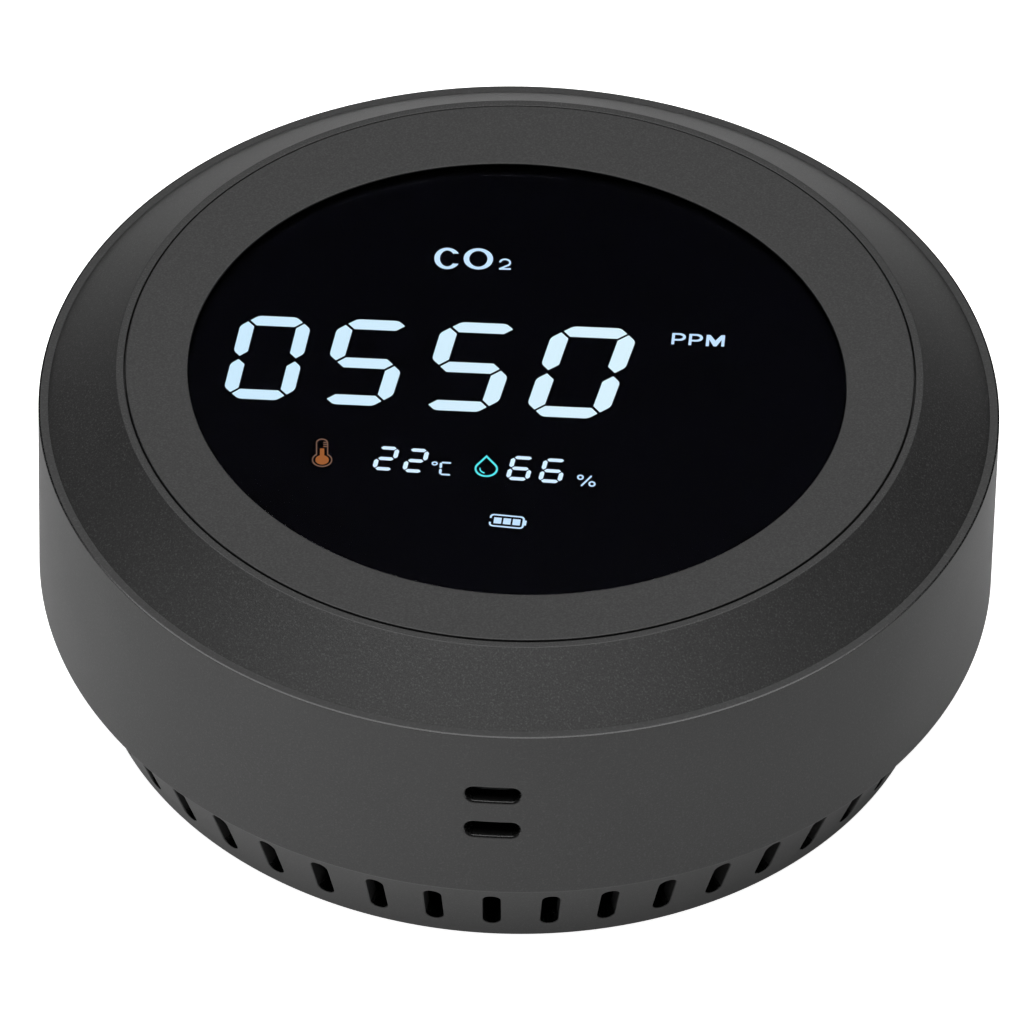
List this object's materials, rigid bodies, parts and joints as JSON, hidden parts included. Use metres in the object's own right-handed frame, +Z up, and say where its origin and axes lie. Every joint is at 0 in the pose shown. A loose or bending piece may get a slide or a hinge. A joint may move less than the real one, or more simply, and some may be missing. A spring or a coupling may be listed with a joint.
{
  "type": "air quality monitor",
  "caption": "Round tabletop CO2 monitor with a chamfered top ring, oval lit display, undercut vented housing, rear USB socket and push button.",
  "frame": {"origin": "middle of the footprint, on the surface that the rubber feet stand on", "axes": "+Z up out of the display, -Y towards the front air slots and the reader, +X to the reader's right"},
  "size_m": [0.105, 0.105, 0.0419],
  "materials": {
    "case_grey": "satin, fine sparkle",
    "plate_grey": "satin, very fine grain",
    "cover_grey": "fine moulded texture",
    "button_grey": "satin",
    "window_lens": "clear, polished",
    "panel_black": "black, smooth",
    "lit_white": "backlit, pale cyan white",
    "lit_orange": "backlit, orange",
    "lit_cyan": "backlit, cyan",
    "adhesive": "tape",
    "black_plastic": "moulded",
    "white_plastic": "diffuser",
    "ivory_plastic": "moulded",
    "circuit_board": "solder mask",
    "chip_black": "moulded epoxy",
    "flat_cable": "film",
    "screw_steel": "plated",
    "socket_steel": "drawn",
    "sensor_metal": "plated",
    "pin_brass": "plated",
    "membrane_white": "porous film",
    "foam_pad": "foam",
    "battery_foil": "pouch foil",
    "lead_red": "insulation",
    "lead_black": "insulation",
    "foot_rubber": "moulded rubber"
  },
  "bodies": {
    "case": {"top_ring": "case_grey", "face_plate": "plate_grey", "display_window": "window_lens", "window_adhesive": "adhesive", "panel_frame": "black_plastic", "display_panel": "panel_black", "main_digits": "lit_white", "small_digits": "lit_white", "unit_labels": "lit_white", "thermometer_icon": "lit_orange", "drop_icon": "lit_cyan", "battery_icon": "lit_white", "backlight": "white_plastic", "display_board": "circuit_board", "display_screws": "screw_steel", "driver_chip": "chip_black", "display_socket": "ivory_plastic", "display_cable": "flat_cable", "side_housing": "case_grey", "bottom_cover": "cover_grey", "rubber_feet": "foot_rubber", "cover_screws": "screw_steel", "main_board": "circuit_board", "board_screws": "screw_steel", "co2_sensor": "sensor_metal", "sensor_membrane": "membrane_white", "sensor_pins": "pin_brass", "climate_board": "circuit_board", "climate_chip": "chip_black", "battery_pad": "foam_pad", "battery_cell": "battery_foil", "battery_lead_red": "lead_red", "battery_lead_black": "lead_black", "battery_connector": "ivory_plastic", "usb_socket": "socket_steel", "usb_tongue": "black_plastic", "switch_body": "black_plastic", "buzzer": "black_plastic", "microcontroller": "chip_black", "charger_chip": "chip_black", "main_socket": "ivory_plastic"},
    "button": {"switch_plunger": "ivory_plastic", "power_button": "button_grey"}
  },
  "joints": [
    {"name": "power_button_press", "type": "slide", "parent": "case", "child": "button", "axis": [-0.3746, -0.9272, 0], "range_m": [0, 0.0005], "stiffness_N_per_m": 3200}
  ]
}
